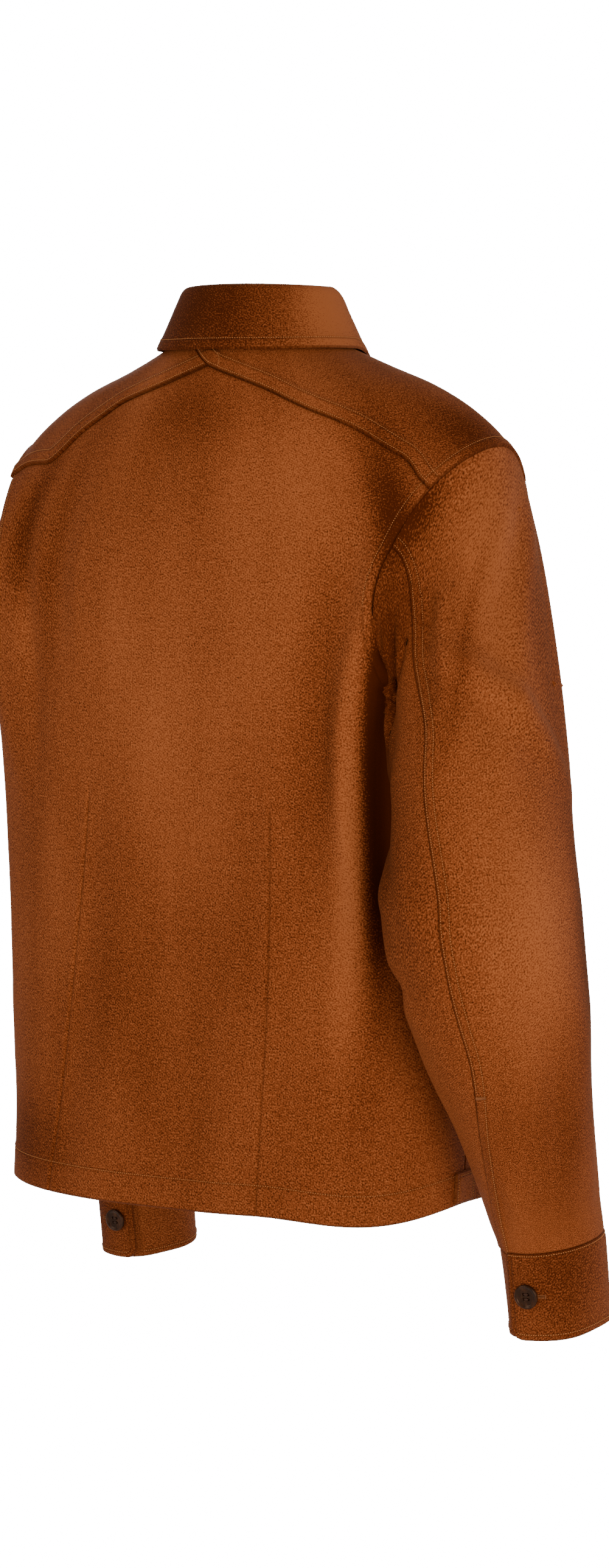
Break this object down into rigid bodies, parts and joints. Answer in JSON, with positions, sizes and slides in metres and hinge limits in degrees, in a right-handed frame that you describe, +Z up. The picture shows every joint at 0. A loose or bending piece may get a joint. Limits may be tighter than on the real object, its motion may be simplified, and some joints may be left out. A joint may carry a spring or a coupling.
{
  "type": "military jacket",
  "caption": "Worn wool military shirt-jacket with a turned-down collar, crossed back yokes, darted back, felled sleeves and buttoned cuffs, hollow as on a body.",
  "frame": {"origin": "middle of the neck base at shoulder height, where the wearer's shoulders carry the jacket", "axes": "+Z up, the front faces -Y, the wearer's right is -X"},
  "size_m": [0.5999, 0.3802, 0.7772],
  "materials": {
    "wool": "brushed, with a soft sheen",
    "wool_double": "brushed, folded double",
    "horn": "polished dark horn"
  },
  "bodies": {
    "root": {"back": "wool", "yoke_right": "wool", "yoke_left": "wool", "front_right": "wool", "front_left": "wool", "collar_stand": "wool_double", "collar_fall": "wool_double", "sleeve_upper_right": "wool", "sleeve_under_right": "wool", "sleeve_upper_left": "wool", "sleeve_under_left": "wool", "cuff_right": "wool_double", "cuff_left": "wool_double", "hem_tab_right": "wool_double", "hem_tab_left": "wool_double", "button_cuff_right": "horn", "button_cuff_left": "horn", "button_front_1": "horn", "button_front_2": "horn", "button_front_3": "horn", "button_front_4": "horn", "button_front_5": "horn", "button_front_6": "horn"}
  },
  "joints": []
}
